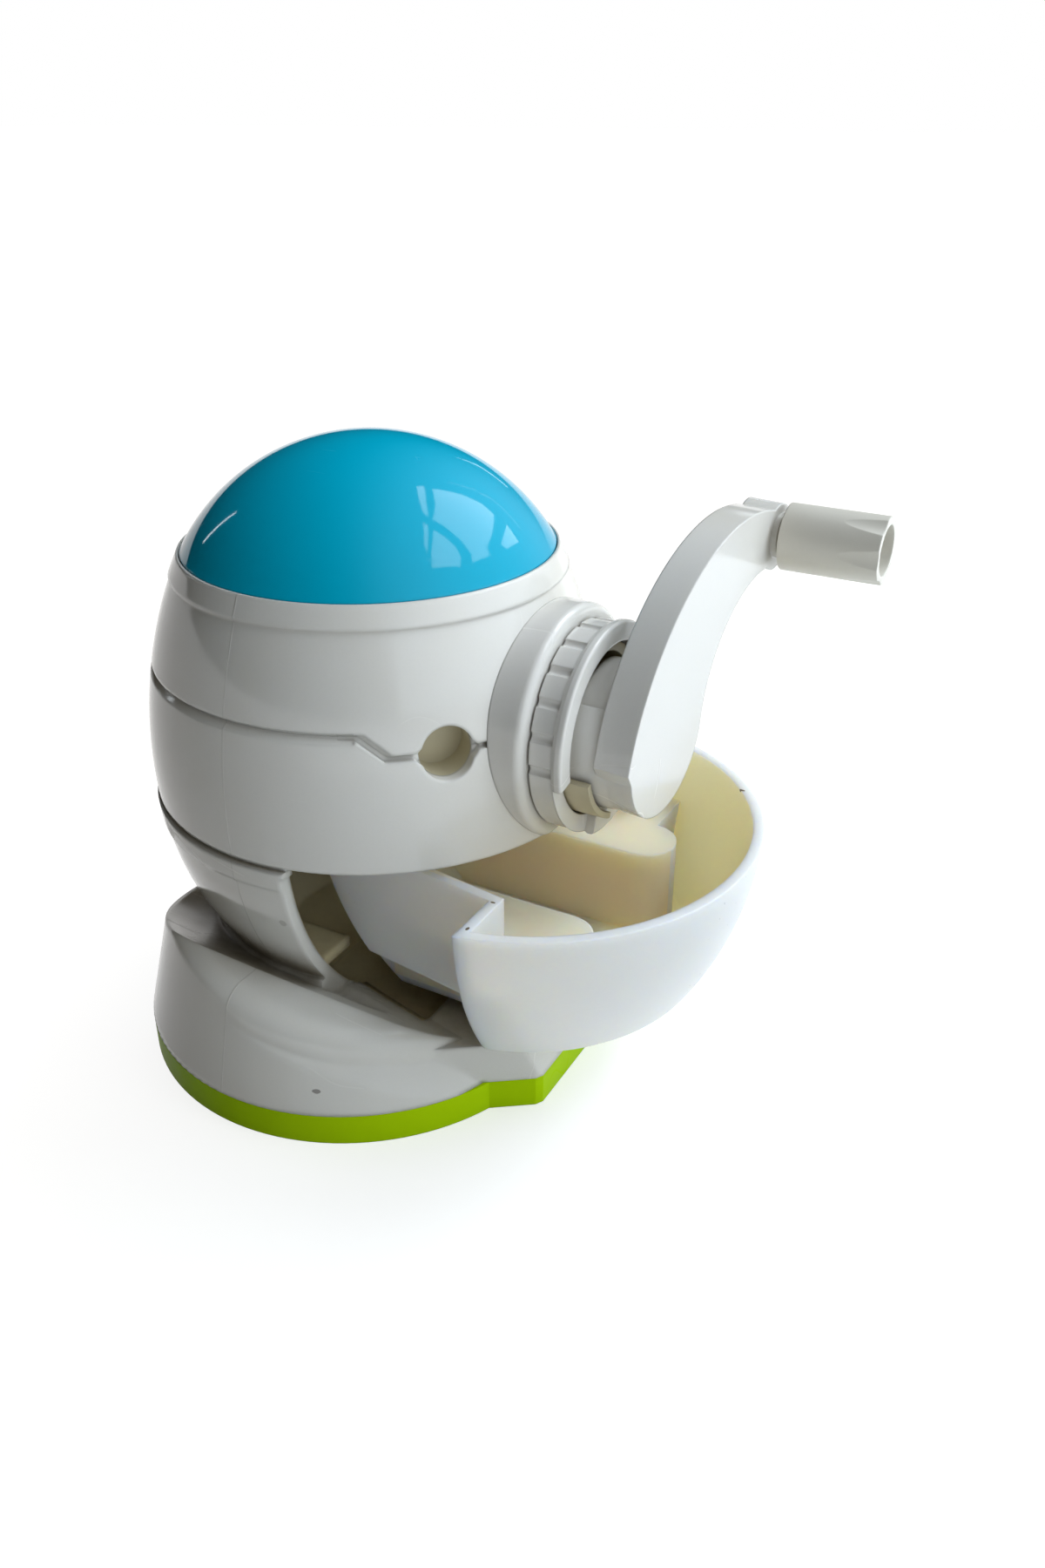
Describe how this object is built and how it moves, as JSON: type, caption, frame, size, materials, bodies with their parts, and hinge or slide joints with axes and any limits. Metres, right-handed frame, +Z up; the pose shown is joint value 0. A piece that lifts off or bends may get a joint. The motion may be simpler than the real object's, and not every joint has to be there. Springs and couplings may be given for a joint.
{
  "type": "crank pencil sharpener",
  "caption": "Free-standing crank pencil sharpener: round domed head on a lobed foot, fluted lock collar, curved crank arm with spinning grip, pull-out shavings tray, helical cutter.",
  "frame": {"origin": "centre of the flat underside of the sole, below the vertical axis of the head", "axes": "+Z up; +X towards the crank, the lock collar and the way the tray pulls out; -X towards the pencil port; crank axis parallel to X"},
  "size_m": [0.1244, 0.1036, 0.112],
  "materials": {
    "body_white": "moulded ABS, warm white, glossy",
    "tray_white": "moulded ABS, cooler white, glossy",
    "grip_white": "moulded plastic, satin",
    "inner_cream": "natural cream plastic, satin",
    "dome_blue": "high-gloss cyan-blue plastic",
    "sole": "lime green plastic, satin",
    "steel": "turned steel",
    "cutter_steel": "hardened and ground tool steel",
    "zinc": "die-cast zinc alloy, as cast"
  },
  "bodies": {
    "housing": {"base_sole": "sole", "base_shell": "body_white", "base_screws": "steel", "head_lower_shell": "body_white", "head_upper_shell": "body_white", "dome_cap": "dome_blue", "head_screws": "steel", "socket_cup": "inner_cream", "collar_seat": "body_white", "cartridge_barrel": "inner_cream", "shaft_bush": "steel", "guide_tube": "inner_cream", "port_bezel": "body_white", "ring_gear": "inner_cream"},
    "tray": {"shavings_tray": "tray_white"},
    "crank": {"crank_arm": "body_white", "crank_shaft": "steel", "cutter_carrier": "zinc", "thrust_washer": "steel", "grip_pin": "steel"},
    "grip": {"grip": "grip_white"},
    "collar": {"lock_collar": "body_white"},
    "cutter": {"helical_cutter": "cutter_steel", "cutter_pinion": "cutter_steel", "cutter_axle": "steel"}
  },
  "joints": [
    {"name": "tray_slide", "type": "slide", "parent": "housing", "child": "tray", "axis": [1, 0, 0], "range_m": [-0.0323, 0.012]},
    {"name": "crank_turn", "type": "hinge", "parent": "housing", "child": "crank", "pos_m": [0, 0, 0.0675], "axis": [1, 0, 0], "range_deg": [-44, 140]},
    {"name": "grip_spin", "type": "hinge", "parent": "crank", "child": "grip", "pos_m": [0.072, 0.03981, 0.09267], "axis": [1, 0, 0], "continuous": true},
    {"name": "collar_twist", "type": "hinge", "parent": "housing", "child": "collar", "pos_m": [0.045, 0, 0.0675], "axis": [1, 0, 0], "range_deg": [0, 30]},
    {"name": "cutter_spin", "type": "hinge", "parent": "crank", "child": "cutter", "pos_m": [-0.018, 0, 0.0766], "axis": [0.9863, 0, -0.165], "range_deg": [-466, 148]}
  ],
  "couplings": [
    {"joint": "cutter_spin", "follows": "crank_turn", "ratio": -3.2}
  ]
}
